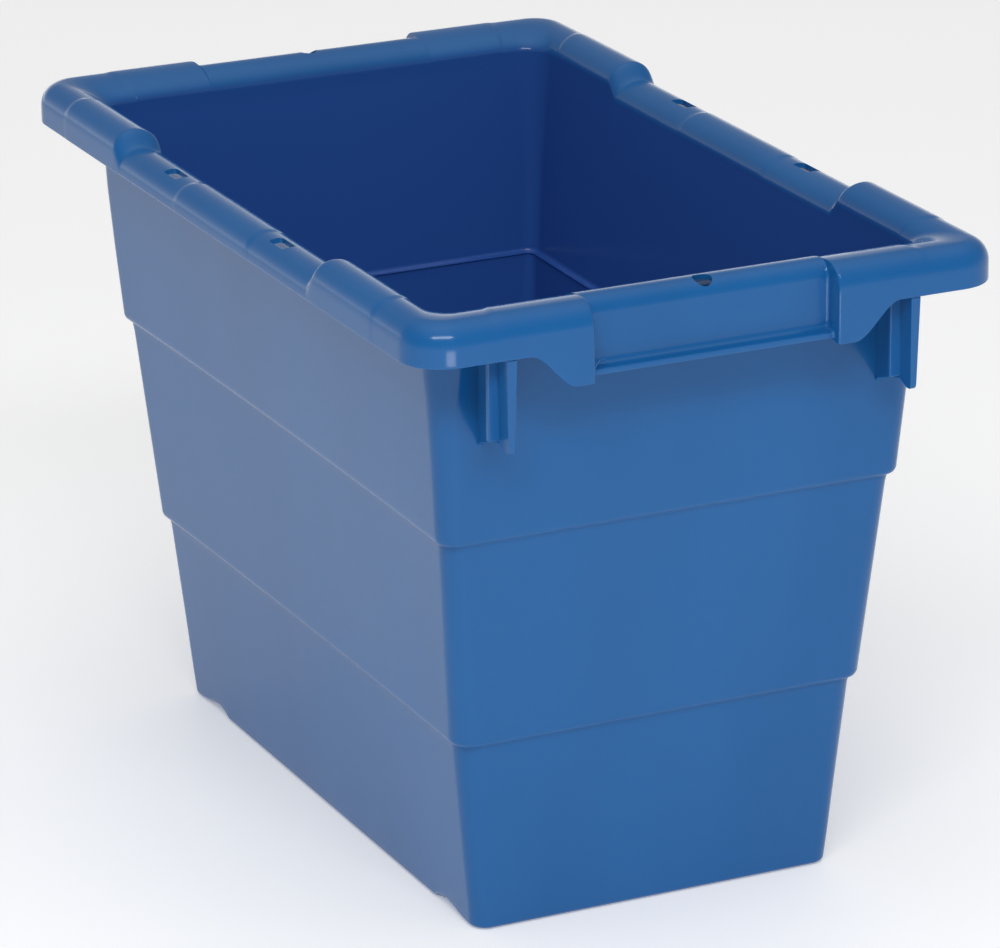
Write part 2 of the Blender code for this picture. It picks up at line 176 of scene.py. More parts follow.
class Station:
    """A place round one quadrant of the rim: on an end, in the turn or on a long side."""

    def __init__(self, kind, at, grip_out=0.0, grip_in=0.0):
        self.kind, self.at = kind, at
        self.grip_out, self.grip_in = grip_out, grip_in
        axis = {"end": 1, "side": 0}.get(kind)
        if kind == "turn":
            ca, sa = math.cos(at), math.sin(at)
            self.out = (RIM_REACH[0] + RIM_R * ca, RIM_REACH[1] + RIM_R * sa)
            self.crown = tuple(r + (RIM_R - CROWN_R) * c for r, c in zip(RIM_REACH, (ca, sa)))
            self.wall = tuple(r + WALL_R * c for r, c in zip(WALL_REACH, (ca, sa)))
            self.t = None
        else:
            knee = WALL_REACH[axis] - KNEE_RUN
            inner = at
            if at > knee:
                inner = mix(knee, WALL_REACH[axis], (at - knee) / (RIM_REACH[axis] - knee))
            self.t = inner / WALL_REACH[axis]
            if kind == "end":
                self.out, self.crown = (HX, at), (HX - CROWN_R, at)
                self.wall = (WALL_HALF[0], inner)
            else:
                self.out, self.crown = (at, HY), (at, HY - CROWN_R)
                self.wall = (inner, WALL_HALF[1])
        self.width = CROWN_R + math.dist(self.crown, self.wall)

    def ring_point(self, ring):
        """Point of a body ring (half x, half y, radius, bow, z) at this station."""
        hx, hy, r, bow, z = ring
        if self.kind == "end":
            return hx, self.t * (hy - r), z
        if self.kind == "turn":
            return hx - r + r * math.cos(self.at), hy - r + r * math.sin(self.at), z
        return self.t * (hx - r), hy - bow * (1.0 - self.t ** 2), z

    def rim_point(self, s, z):
        """Point s in from the skirt face, measured over the crown towards the inside."""
        start, end = (self.out, self.crown) if s <= CROWN_R else (self.crown, self.wall)
        run = s if s <= CROWN_R else s - CROWN_R
        t = run / math.dist(start, end)
        return mix(start[0], end[0], t), mix(start[1], end[1], t), z

    def top(self):
        if self.kind == "turn":
            return TOP - CORNER_DIP
        if self.kind == "end":
            return TOP - CORNER_DIP * smoothstep((self.at - BLOCK_END) / SEAM_RUN + 0.5)
        low = RAIL_TOP - RAIL_DIP
        if self.at < SADDLE_START:
            centre = smoothstep((RAIL_CENTRE_HALF - self.at) / SEAM_RUN + 0.5)
            rise = smoothstep((self.at - RAIL_HALF) / (SADDLE_START - RAIL_HALF))
            return mix(low, TOP, rise) + RAIL_DIP * centre
        return TOP - CORNER_DIP * smoothstep((self.at - SADDLE_END) / SEAM_RUN + 0.5)

    def face_in(self):
        """How far the skirt face stands in from the saddles' faces."""
        if self.kind == "turn":
            return SEAM_STEP
        if self.kind == "end":
            return SEAM_STEP * smoothstep((self.at - BLOCK_END) / SEAM_RUN + 0.5)
        if self.at < SADDLE_START:
            rise = smoothstep((self.at - RAIL_HALF) / (SADDLE_START - RAIL_HALF))
            centre = smoothstep((RAIL_CENTRE_HALF - self.at) / SEAM_RUN + 0.5)
            return SEAM_STEP * (1.0 - rise) * (1.0 - 0.6 * centre)
        return SEAM_STEP * smoothstep((self.at - SADDLE_END) / SEAM_RUN + 0.5)

    def skirt(self):
        if self.kind != "end":
            return SKIRT_Z
        return mix(TAB_Z, SKIRT_Z, smoothstep((self.at - TAB_FLAT) / (TAB_ROOT - TAB_FLAT)))


def tab_edge_stations():
    """The tab's rounded side, the web behind it and its root on the set-back panel."""
    r = TAB_EDGE_R
    web = TAB_EDGE + SKIN
    stations = []
    for a in arc(5):
        s = GRIP_SETBACK - r * (1.0 - math.cos(a))
        stations.append(Station("end", TAB_EDGE - r * (1.0 - math.sin(a)),
                                grip_out=s / GRIP_SETBACK, grip_in=1.0))
    for a in arc(5):
        s = r * (1.0 - math.sin(a))
        stations.append(Station("end", TAB_EDGE + r * (1.0 - math.cos(a)),
                                grip_out=s / GRIP_SETBACK, grip_in=1.0))
    stations.append(Station("end", web, grip_in=1.0))
    stations.append(Station("end", web + 0.04 * MM))
    return stations


def quadrant_stations():
    """Stations from the middle of the +X end to the middle of the +Y side."""
    seam = 0.5 * SEAM_RUN
    grip = [Station("end", y, 1.0, 1.0) for y in spread(0.0, TAB_EDGE - TAB_EDGE_R, 8)]
    ends = [62 * MM, 64 * MM]
    ends += spread(TAB_FLAT, TAB_ROOT, 14) + spread(TAB_ROOT, BLOCK_END - seam, 3)
    ends += spread(BLOCK_END - seam, BLOCK_END + seam, 6)
    ends += spread(BLOCK_END + seam, RIM_REACH[1], 6)
    turn = [Station("turn", math.radians(a)) for a in spread(0.0, 90.0, 18)]
    sides = spread(RIM_REACH[0], SADDLE_END + seam, 7)
    sides += spread(SADDLE_END + seam, SADDLE_END - seam, 6)
    sides += spread(SADDLE_END - seam, SADDLE_START, 28) + spread(SADDLE_START, RAIL_HALF, 10)
    sides += spread(RAIL_HALF, RAIL_CENTRE_HALF + seam, 16)
    sides += spread(RAIL_CENTRE_HALF + seam, RAIL_CENTRE_HALF - seam, 6)
    sides += spread(RAIL_CENTRE_HALF - seam, 0.0, 9) + [0.0]
    return (grip + tab_edge_stations() + [Station("end", y) for y in ends] + turn
            + [Station("side", x) for x in sides])


# ---------------------------------------------------------------- rows up and over the tub

def inset(half, depth, radius, bow, z):
    return (half[0] - depth, half[1] - depth, max(radius - depth, THINNEST_R), bow, z)


def tier_rings():
    """Body rings outside, from the floor's middle up to the rim, and inside, back down."""
    pan, lower, middle, upper = ((t.x, t.y) for t in TIER_TOP)
    rise = tuple((w - p) / (TIER_TOP[1].z - TIER_TOP[0].z) for w, p in zip(lower, pan))
    foot = tuple(p - k * TIER_TOP[0].z for p, k in zip(pan, rise))
    b, r = BOW, BODY_R

    def half_at(z):
        return tuple(f + (w - f) * z / TIER_TOP[1].z for f, w in zip(foot, lower))

    outside = [inset(foot, d, r[0], 0.0, FLOOR_UNDERSIDE) for d in (70 * MM, 40 * MM, 17 * MM)]
    outside += [inset(foot, FOOT_WIDTH + 3.4 * MM, r[0], b[0] / 2, FLOOR_UNDERSIDE),
                inset(foot, FOOT_WIDTH + 2.6 * MM, r[0], b[0], FLOOR_UNDERSIDE - 0.5 * MM),
                inset(foot, FOOT_WIDTH + 0.4 * MM, r[0], b[0], 0.3 * MM),
                inset(foot, FOOT_WIDTH - 0.6 * MM, r[0], b[0], 0.0),
                *(inset(foot, d, r[0], b[0], 0.0) for d in (7 * MM, 5 * MM, 3.4 * MM))]
    for a in arc(7):
        z = FOOT_EDGE_R * (1.0 - math.cos(a))
        outside.append(inset(half_at(z), FOOT_EDGE_R * (1.0 - math.sin(a)), r[0], b[0], z))
    outside += [(*half_at(z), r[0], b[0], z) for z in (8 * MM, PAN_TOP)]
    marks = {"floor_pan": len(outside) - 1}
    below_step = STEP_Z[0] - STEP_FILLET_RISE - 1 * MM
    outside += [(*half_at(z), mix(r[0], r[1], z / STEP_Z[0]), mix(b[0], b[1], z / STEP_Z[0]), z)
                for z in (32 * MM, 62 * MM, STEP_Z[0] - 8 * MM, below_step)]
    inside = []

    def step(i, below, above_half, above_top, z_top):
        """One ledge and the tier standing on it."""
        z0 = STEP_Z[i]
        across, up = STEP_EDGE
        hollow = STEP_INSET[i] - across
        out = [inset(below, -hollow * (1.0 - math.cos(a)), r[i + 1], b[i + 1],
                     z0 - STEP_FILLET_RISE * (1.0 - math.sin(a))) for a in arc(6)]
        name = ("lower_wall", "middle_wall")[i]
        marks[name] = len(outside) + len(out) - 1
        out += [inset(above_half, across * (1.0 - math.sin(a)), r[i + 1], b[i + 1],
                      z0 + up * (1.0 - math.cos(a))) for a in arc(9)[1:]]
        for t in (0.09, 0.36, 0.68, 0.95):
            half = tuple(mix(h, w, t) for h, w in zip(above_half, above_top))
            out.append((*half, mix(r[i + 1], r[i + 2], t ** (1 + 3 * i)),
                        mix(b[i + 1], b[i + 2], t), mix(z0 + up, z_top, t)))
        outside.extend(out)

    middle_half = tuple(v + STEP_INSET[0] for v in lower)
    upper_half = tuple(v + STEP_INSET[1] for v in middle)
    step(0, lower, middle_half, middle, STEP_Z[1])
    step(1, middle, upper_half, upper, RIM_JOIN)
    outside.append((*upper, r[3], b[3], RIM_JOIN))

    def inner_step(i, above_half, above_top, z_top):
        """The same ledge from inside, swept into the wall above and rounded at its edge."""
        z0 = STEP_Z[i]
        sweep_in, sweep_up = LEDGE_SWEEP
        half = tuple(mix(h, w, 0.5) for h, w in zip(above_half, above_top))
        ledge = STEP_INSET[i] + WALL
        rows = [inset(half, WALL, mix(r[i + 1], r[i + 2], 0.5 ** (1 + 3 * i)),
                      mix(b[i + 1], b[i + 2], 0.5), mix(z0, z_top, 0.5)),
                inset(above_half, WALL, r[i + 1], b[i + 1], z0 + WALL + 4 * MM)]
        rows += [inset(above_half, WALL + sweep_in * (1.0 - math.cos(a)), r[i + 1], b[i + 1],
                       z0 + WALL + sweep_up * (1.0 - math.sin(a))) for a in arc(6)]
        rows += [inset(above_half, ledge - LEDGE_EDGE_R * math.cos(a), r[i + 1], b[i + 1],
                       z0 + WALL - LEDGE_EDGE_R * (1.0 - math.sin(a))) for a in reversed(arc(4))]
        inside.extend(rows)
        marks["inside_" + ("lower_wall", "middle_wall")[i]] = len(inside) - 4

    inside.append(inset(upper, WALL, r[3], b[3], RIM_JOIN))
    inner_step(1, upper_half, upper, RIM_JOIN)
    inner_step(0, middle_half, middle, STEP_Z[1])
    inside += [inset(half_at(z), WALL, r[0], b[0], z) for z in (60 * MM, PAN_TOP)]
    marks["inside_floor_pan"] = len(inside) - 1
    floor_top = FLOOR_UNDERSIDE + FLOOR
    for a in arc(6):
        z = floor_top + FLOOR_FILLET * (1.0 - math.sin(a))
        inside.append(inset(half_at(z), WALL + FLOOR_FILLET * (1.0 - math.cos(a)),
                            r[0] + 1 * MM, b[0], z))
    inside += [inset(foot, d, r[0], 0.0, floor_top) for d in (14 * MM, 40 * MM, 70 * MM)]
    return outside, inside, marks


def rim_rows(st):
    """(s, z) of every rim row at a station, from the wall's outside, under and over."""
    top, face, skirt, width = st.top(), st.face_in(), st.skirt(), st.width
    grip_c = GRIP_SETBACK + GRIP_EDGE_R

    def blend(weight, tab, grip):
        return [(mix(a[0], b[0], weight), mix(a[1], b[1], weight)) for a, b in zip(tab, grip)]

    def underside(centre, crest):
        reach = width - WALL - centre
        return [(centre + reach * math.sin(a), crest - CROWN_DROP
                 + (CROWN_DROP - SKIN) * math.cos(a)) for a in reversed(arc(9))]

    tab_r = CROWN_R - SKIN
    tab = underside(CROWN_R, top)
    tab += [(CROWN_R - tab_r * math.sin(a), top - CROWN_R + tab_r * math.cos(a))
            for a in arc(6)[1:]]
    tab += [(SKIN, mix(top - CROWN_R, skirt, 0.6)), (SKIN, skirt + EDGE),
            (SKIN - 0.3 * EDGE, skirt + 0.3 * EDGE), (SKIN - EDGE, skirt)]
    grip = underside(grip_c, GRIP_TOP)
    grip_r = GRIP_EDGE_R - SKIN
    inner_face = GRIP_SETBACK + SKIN
    grip += [(grip_c - grip_r * math.sin(a), GRIP_TOP - GRIP_EDGE_R + grip_r * math.cos(a))
             for a in arc(6)[1:]]
    grip += [(inner_face, mix(GRIP_TOP, LIP_BOTTOM, 0.6)), (inner_face, LIP_BOTTOM + EDGE),
             (inner_face - 0.3 * EDGE, LIP_BOTTOM + 0.3 * EDGE), (inner_face - EDGE, LIP_BOTTOM)]
    rows = [(width - WALL, top - CROWN_DROP - 0.8 * MM)] + blend(st.grip_in, tab, grip)

    tab = [(face + EDGE, skirt), (face + 0.3 * EDGE, skirt + 0.3 * EDGE)]
    tab += [(face, mix(skirt + EDGE, top - CROWN_R, t)) for t in (0.0, 0.15, 0.5, 0.85, 1.0)]
    tab += [(CROWN_R - (CROWN_R - face) * math.cos(a), top - CROWN_R * (1.0 - math.sin(a)))
            for a in arc(12)[1:]]
    grip = [(LIP_FACE + EDGE, LIP_BOTTOM), (LIP_FACE + 0.3 * EDGE, LIP_BOTTOM + 0.3 * EDGE),
            (LIP_FACE, LIP_BOTTOM + EDGE), (LIP_FACE, LIP_TOP - EDGE),
            (LIP_FACE + 0.3 * EDGE, LIP_TOP - 0.3 * EDGE), (LIP_FACE + EDGE, LIP_TOP)]
    grip += [(GRIP_SETBACK - LIP_FILLET * (1.0 - math.sin(a)),
              LIP_TOP + 0.4 * MM + LIP_FILLET * (1.0 - math.cos(a))) for a in arc(4)]
    grip += [(grip_c - GRIP_EDGE_R * math.cos(a), GRIP_TOP - GRIP_EDGE_R * (1.0 - math.sin(a)))
             for a in arc(8)]
    rows += blend(st.grip_out, tab, grip)

    def over(centre, crest):
        return [(centre + (width - centre) * math.sin(a),
                 crest - CROWN_DROP * (1.0 - math.cos(a))) for a in arc(13)[1:]]

    rows += blend(st.grip_out, over(CROWN_R, top), over(grip_c, GRIP_TOP))
    return rows


def groove_lift(x, depth, z):
    """Rise of the foot over the arched grooves: flared at the wall, fading out above it."""
    off = abs(x) - GROOVE_X
    flare = mix(1.0, GROOVE_NARROWING, smoothstep((depth - FOOT_EDGE_R) / (3 * MM)))
    half = GROOVE_HALF[off > 0] * flare
    if abs(off) >= half or z > GROOVE_FADE_Z:
        return 0.0
    steepness = GROOVE_STEEPNESS[off >= 0]
    arch = GROOVE_DEPTH * flare * math.cos(0.5 * math.pi * off / half) ** steepness
    return max(arch - max(z - FOOT_EDGE_R, 0.0), 0.0) * (1.0 - z / GROOVE_FADE_Z)


def column(st, outside, inside):
    """Every point of the skin at one station, from the underside round to the floor."""
    points = []
    for ring in outside:
        x, y, z = st.ring_point(ring)
        depth = TIER_TOP[0].y - ring[1]
        if st.kind == "side" and depth < FOOT_WIDTH + 3 * MM and z < FLOOR_UNDERSIDE:
            z = max(z, 0.0) + groove_lift(x, max(depth, 0.0), z)
        elif st.kind == "side" and depth < FOOT_WIDTH:
            z += groove_lift(x, 0.0, z)
        points.append((x, y, z))
    points += [st.rim_point(s, z) for s, z in rim_rows(st)]
    points += [st.ring_point(ring) for ring in inside]
    return points


def node_of(st, sx, sy, row, outside, rim_count, marks):
    """Name of the sub-part that the face just above this row belongs to."""
    first_inside = len(outside) + rim_count
    end, side = ("front" if sx > 0 else "rear"), ("left" if sy > 0 else "right")
    for name in ("floor_pan", "lower_wall", "middle_wall"):
        if row < marks[name] or row >= first_inside + marks["inside_" + name]:
            return name
    if row < len(outside) - 1 or row >= first_inside:
        return "upper_wall"
    if st.kind == "side" and st.at <= RAIL_HALF:
        return f"rail_{side}"
    if st.kind == "end" and st.at < TAB_EDGE - 0.01 * MM:
        return f"grip_{end}"
    return f"rim_corner_{end}_{side}"


def skin_mesh():
    """The whole moulding as one closed mesh: sub-part of every face, and at every point the
    weight of the painted shade tint for the inside.
    """
    outside, inside, marks = tier_rings()
    quad = quadrant_stations()
    rim_count = len(rim_rows(quad[0]))
    loop = []
    for sx, sy in ((1, 1), (-1, 1), (-1, -1), (1, -1)):
        run = quad if sx == sy else quad[::-1]
        loop += [(st, sx, sy) for st in run][:-1]
    bm = bmesh.new()
    tag = bm.faces.layers.int.new("part")
    depth = bm.verts.layers.float.new("inside")
    grid = [[bm.verts.new((x * sx, y * sy, z)) for x, y, z in column(st, outside, inside)]
            for st, sx, sy in loop]
    names = []
    # painted shade mask: the inside tint's weight fades in over the rows past the crown's crest
    crest_row = len(outside) + rim_count - INSIDE_FADE_ROWS
    for col in grid:
        for row, vert in enumerate(col):
            vert[depth] = smoothstep((row - crest_row) / INSIDE_FADE_ROWS)

    def add(verts, name):
        if name not in names:
            names.append(name)
        bm.faces.new(verts)[tag] = names.index(name)

    for i, (st, sx, sy) in enumerate(loop):
        nxt = loop[(i + 1) % len(loop)]
        mid = nxt[0] if sx != sy else st
        a, b = grid[i], grid[(i + 1) % len(grid)]
        for row in range(len(a) - 1):
            name = node_of(mid, sx, sy, row, outside, rim_count, marks)
            add((a[row], b[row], b[row + 1], a[row + 1]), name)
    add([col[0] for col in reversed(grid)], "floor_pan")
    add([col[-1] for col in grid], "floor_pan")
    bmesh.ops.recalc_face_normals(bm, faces=bm.faces)
    mesh = bpy.data.meshes.new("moulding")
    bm.to_mesh(mesh)
    bm.free()
    return mesh, names


# ---------------------------------------------------------------- openings through the crown

def rounded_box(name, size, radius, segments, place):
    """Upright box with rounded corners, or a round bar when the radius fills its width."""
    bm = bmesh.new()
    bmesh.ops.create_cube(bm, size=1.0)
    bmesh.ops.scale(bm, verts=bm.verts, vec=size)
    upright = [e for e in bm.edges if abs(e.verts[0].co.z - e.verts[1].co.z) > size[2] / 2]
    bmesh.ops.bevel(bm, geom=upright, offset=radius, segments=segments, profile=0.5,
                     affect="EDGES")
    mesh = bpy.data.meshes.new(name)
    bm.to_mesh(mesh)
    bm.free()
    obj = bpy.data.objects.new(name, mesh)
    obj.location = place
    bpy.context.scene.collection.objects.link(obj)
    return obj


def opening_cutters():
    cutters = []
    for sx in (1, -1):
        for sy in (1, -1):
            cutters.append(rounded_box("slot", (*SLOT_SIZE, 12 * MM), 1.2 * MM, 4,
                                       (sx * SLOT_X, sy * (HY - SLOT_IN), RAIL_TOP - RAIL_DIP)))
        cutters.append(rounded_box("hole", (2 * HOLE_R, 2 * HOLE_R, 16 * MM), 0.96 * HOLE_R, 8,
                                   (sx * (HX - HOLE_IN), 0.0, GRIP_TOP)))
    return cutters


# ---------------------------------------------------------------- plastic

PIGMENT = ((0.0070, 0.103, 0.316, 1.0), (0.0090, 0.119, 0.355, 1.0))
# painted shade: purpler blue on the inside faces for the tub's shaded, interreflected interior;
# the plastic itself is the same inside and out
PAINTED_INTERIOR_SHADE = (0.024, 0.088, 0.345, 1.0)
# painted highlight: lighter blue on convex edges, standing in for the thin bright lines the
# light draws along rounded edges
PAINTED_EDGE_HIGHLIGHT = (0.06, 0.20, 0.48, 1.0)
EDGE_HIGHLIGHT_SHARE = 0.16
PLASTIC_IOR = 1.49
SPECULAR_LEVEL = 0.34
GLOSS = (0.13, 0.20)
SCUFF_ROUGHNESS = 0.10
WAVE_HEIGHT = 0.6 * MM
GRAIN_HEIGHT = 0.04 * MM

# colour sockets of a Mix node in RGBA mode
MIX_A, MIX_B, MIX_RESULT = 6, 7, 2


def node(tree, kind, place=(0, 0), **values):
    """New shader node: a value goes to the input of that name, or else to the setting."""
    made = tree.nodes.new(kind)
    made.location = place
    for key, value in values.items():
        if key in made.inputs:
            made.inputs[key].default_value = value
        else:
            setattr(made, key, value)
    return made


def link(tree, a, out, b, into):
    tree.links.new(a.outputs[out], b.inputs[into])


def polypropylene(name):
    """Glossy blue polypropylene with flow marks, skin grain, scuffs, waves, painted edge
    highlights and a painted inside shade.
    """
    mat = bpy.data.materials.new(name)
    mat.use_nodes = True
    tree = mat.node_tree
    shader = tree.nodes["Principled BSDF"]
    shader.inputs["IOR"].default_value = PLASTIC_IOR
    shader.inputs["Specular IOR Level"].default_value = SPECULAR_LEVEL
    coords = node(tree, "ShaderNodeTexCoord", (-1500, 0))

    flow_map = node(tree, "ShaderNodeMapping", (-1300, 200))
    flow_map.inputs["Scale"].default_value = (5.0, 5.0, 2.0)
    link(tree, coords, "Object", flow_map, "Vector")
    flow = node(tree, "ShaderNodeTexNoise", (-1100, 200), Scale=2.2, Detail=5.0, Roughness=0.5)
    link(tree, flow_map, "Vector", flow, "Vector")
    colour = node(tree, "ShaderNodeValToRGB", (-900, 200))
    ramp = colour.color_ramp
    ramp.elements[0].position, ramp.elements[1].position = 0.30, 0.72
    ramp.elements[0].color, ramp.elements[1].color = PIGMENT
    link(tree, flow, "Fac", colour, "Fac")

    speck = node(tree, "ShaderNodeTexNoise", (-1100, -60), Scale=900.0, Detail=2.0)
    link(tree, coords, "Object", speck, "Vector")
    scuff_map = node(tree, "ShaderNodeMapping", (-1300, -300))
    scuff_map.inputs["Scale"].default_value = (60.0, 60.0, 900.0)
    scuff_map.inputs["Rotation"].default_value = (0.35, 0.2, 0.1)
    link(tree, coords, "Object", scuff_map, "Vector")
    scuff = node(tree, "ShaderNodeTexNoise", (-1100, -300), Scale=1.0, Detail=3.0)
    link(tree, scuff_map, "Vector", scuff, "Vector")
    scuff_mask = node(tree, "ShaderNodeMapRange", (-900, -300))
    scuff_mask.inputs["From Min"].default_value = 0.66
    scuff_mask.inputs["From Max"].default_value = 0.80
    link(tree, scuff, "Fac", scuff_mask, "Value")

    # painted highlight: convex edges, found by pointiness, are lightened towards the highlight
    # blue
    edge_pointiness = node(tree, "ShaderNodeNewGeometry", (-1100, -560))
    edge = node(tree, "ShaderNodeMapRange", (-900, -560))
    edge.inputs["From Min"].default_value = 0.52
    edge.inputs["From Max"].default_value = 0.62
    edge.inputs["To Max"].default_value = EDGE_HIGHLIGHT_SHARE
    link(tree, edge_pointiness, "Pointiness", edge, "Value")

    edge_highlight_mix = node(tree, "ShaderNodeMix", (-500, 200), data_type="RGBA")
    link(tree, edge, "Result", edge_highlight_mix, "Factor")
    # painted shade: the inside weight mixes the interior shade tint into the base colour
    depth = node(tree, "ShaderNodeAttribute", (-900, 420), attribute_name="inside")
    interior_shade_mix = node(tree, "ShaderNodeMix", (-700, 300), data_type="RGBA")
    interior_shade_mix.inputs[MIX_B].default_value = PAINTED_INTERIOR_SHADE
    link(tree, depth, "Fac", interior_shade_mix, "Factor")
    link(tree, colour, "Color", interior_shade_mix, MIX_A)
    link(tree, interior_shade_mix, MIX_RESULT, edge_highlight_mix, MIX_A)
    edge_highlight_mix.inputs[MIX_B].default_value = PAINTED_EDGE_HIGHLIGHT
    link(tree, edge_highlight_mix, MIX_RESULT, shader, "Base Color")

    patches = node(tree, "ShaderNodeTexNoise", (-1100, -820), Scale=14.0, Detail=4.0)
    link(tree, coords, "Object", patches, "Vector")
    rough = node(tree, "ShaderNodeMapRange", (-900, -820))
    rough.inputs["From Min"].default_value = 0.3
    rough.inputs["From Max"].default_value = 0.7
    rough.inputs["To Min"].default_value, rough.inputs["To Max"].default_value = GLOSS
    link(tree, patches, "Fac", rough, "Value")
    rougher = node(tree, "ShaderNodeMath", (-600, -700), operation="MULTIPLY_ADD")
    rougher.inputs[1].default_value = SCUFF_ROUGHNESS
    link(tree, scuff_mask, "Result", rougher, 0)
    link(tree, rough, "Result", rougher, 2)
    link(tree, rougher, "Value", shader, "Roughness")

    waviness = node(tree, "ShaderNodeTexNoise", (-1100, -1080), Scale=16.0, Detail=1.0)
    link(tree, coords, "Object", waviness, "Vector")
    wave_bump = node(tree, "ShaderNodeBump", (-500, -1000), Strength=0.25, Distance=WAVE_HEIGHT)
    link(tree, waviness, "Fac", wave_bump, "Height")
    grain_bump = node(tree, "ShaderNodeBump", (-300, -1000), Strength=0.18,
                      Distance=GRAIN_HEIGHT)
    link(tree, speck, "Fac", grain_bump, "Height")
    link(tree, wave_bump, "Normal", grain_bump, "Normal")
    link(tree, grain_bump, "Normal", shader, "Normal")
    return mat


# ---------------------------------------------------------------- skin pieces

def finished_skin():
    """The skin, openings cut and normals face-weighted, and the names of its parts."""
    mesh, names = skin_mesh()
    obj = bpy.data.objects.new("moulding", mesh)
    bpy.context.scene.collection.objects.link(obj)
    for poly in mesh.polygons:
        poly.use_smooth = True
    cutters = opening_cutters()
    for cutter in cutters:
        mod = obj.modifiers.new("opening", "BOOLEAN")
        mod.operation, mod.solver, mod.object = "DIFFERENCE", "EXACT", cutter
    view = bpy.context.evaluated_depsgraph_get()
    cut = bpy.data.meshes.new_from_object(obj.evaluated_get(view), depsgraph=view)
    for doomed in cutters + [obj]:
        bpy.data.objects.remove(doomed, do_unlink=True)
    cut.set_sharp_from_angle(angle=SMOOTH_BELOW)
    holder = bpy.data.objects.new("moulding_cut", cut)
    bpy.context.scene.collection.objects.link(holder)
    weight = holder.modifiers.new("normals", "WEIGHTED_NORMAL")
    weight.keep_sharp = True
    view = bpy.context.evaluated_depsgraph_get()
    final = bpy.data.meshes.new_from_object(holder.evaluated_get(view), depsgraph=view)
    bpy.data.objects.remove(holder, do_unlink=True)
    return final, names


def split_by_part(mesh, names, material):
    """One object for each sub-part, keeping the whole skin's normals so no seam shows."""
    part = mesh.attributes["part"].data
    depth = mesh.attributes["inside"].data
    normals = [tuple(n.vector) for n in mesh.corner_normals]
    pieces = {}
    for index, name in enumerate(names):
        faces = [p for p in mesh.polygons if part[p.index].value == index]
        lookup, coords, interior_shade_weights, polys, corner = {}, [], [], [], []
        for p in faces:
            poly = []
            for li in p.loop_indices:
                vi = mesh.loops[li].vertex_index
                if vi not in lookup:
                    lookup[vi] = len(coords)
                    coords.append(tuple(mesh.vertices[vi].co))
                    interior_shade_weights.append(depth[vi].value)
                poly.append(lookup[vi])
                corner.append(normals[li])
            polys.append(poly)
        new = bpy.data.meshes.new(name + "_skin")
        new.from_pydata(coords, [], polys)
        new.materials.append(material)
        new.shade_smooth()
        new.normals_split_custom_set(corner)
        # each piece keeps its points' weights for the painted inside shade tint
        new.attributes.new("inside", "FLOAT", "POINT").data.foreach_set("value", interior_shade_weights)
        obj = bpy.data.objects.new(name + "_skin", new)
        bpy.context.scene.collection.objects.link(obj)
        pieces[name] = obj
    return pieces


def stop_rib(name, sx, sy, material):
    """Fin crossed by a narrow plate, rounded along its edges, rooted in wall and crown."""
    bm = bmesh.new()
    upper = TIER_TOP[3]
    tip = HX - RIB_FRONT

    def wall_x(z):
        """Just inside the end wall's outer face, so the fin is rooted in it."""
        return upper.x - WALL_SLOPE * (RIM_JOIN - z) - 0.8 * MM

    profile = [(wall_x(RIB_ROOT), RIB_ROOT), (wall_x(RIB_ROOT) + 3 * MM, RIB_ROOT + 2.5 * MM),
               (HX - PLATE_IN - 8 * MM, 242.5 * MM), (HX - PLATE_IN - 1 * MM, 244 * MM),
               (tip - 5.5 * MM, RIB_BOTTOM), (tip - 3 * MM, RIB_BOTTOM),
               (tip - 1.9 * MM, RIB_BOTTOM + 0.8 * MM), (tip - 1.4 * MM, RIB_BOTTOM + 2.2 * MM),
               (tip, SKIRT_Z - 0.2 * MM), (HX - SKIN - 0.4 * MM, SKIRT_Z + 0.6 * MM),
               (HX - SKIN - 0.4 * MM, RIB_TOP), (wall_x(RIM_JOIN), RIB_TOP)]
    fin = []
    for side in (-1, 1):
        verts = []
        for x, z in profile:
            half = mix(*RIB_HALF_THICK, min((z - RIB_BOTTOM) / (SKIRT_Z - RIB_BOTTOM), 1.0))
            verts.append(bm.verts.new((sx * x, sy * RIB_Y + side * half, z)))
        fin.append(verts)
    bm.faces.new(fin[0])
    bm.faces.new(fin[1])
    for i in range(len(profile)):
        j = (i + 1) % len(profile)
        bm.faces.new((fin[0][i], fin[0][j], fin[1][j], fin[1][i]))
    plate_x = (HX - PLATE_IN - PLATE_THICK, HX - PLATE_IN)
    arm = PLATE_WIDTH / 2
    corners = [(x, y, z) for z in (PLATE_BOTTOM, RIB_TOP)
               for x, y in ((plate_x[0], -arm), (plate_x[1], -arm), (plate_x[1], arm),
                            (plate_x[0], arm))]
    verts = [bm.verts.new((sx * x, sy * RIB_Y + y, z)) for x, y, z in corners]
    for quad in ((0, 3, 2, 1), (4, 5, 6, 7), (0, 1, 5, 4), (1, 2, 6, 5), (2, 3, 7, 6),
                 (3, 0, 4, 7)):
        bm.faces.new([verts[i] for i in quad])
    bmesh.ops.recalc_face_normals(bm, faces=bm.faces)
    mesh = bpy.data.meshes.new(name + "_skin")
    bm.to_mesh(mesh)
    bm.free()
    mesh.materials.append(material)
    mesh.shade_smooth()
    obj = bpy.data.objects.new(name + "_skin", mesh)
    bpy.context.scene.collection.objects.link(obj)
    bevel = obj.modifiers.new("round", "BEVEL")
    bevel.width, bevel.segments, bevel.limit_method = RIB_ROUNDING, 3, "ANGLE"
    bevel.angle_limit = math.radians(25)
    bevel.harden_normals = True
    return obj


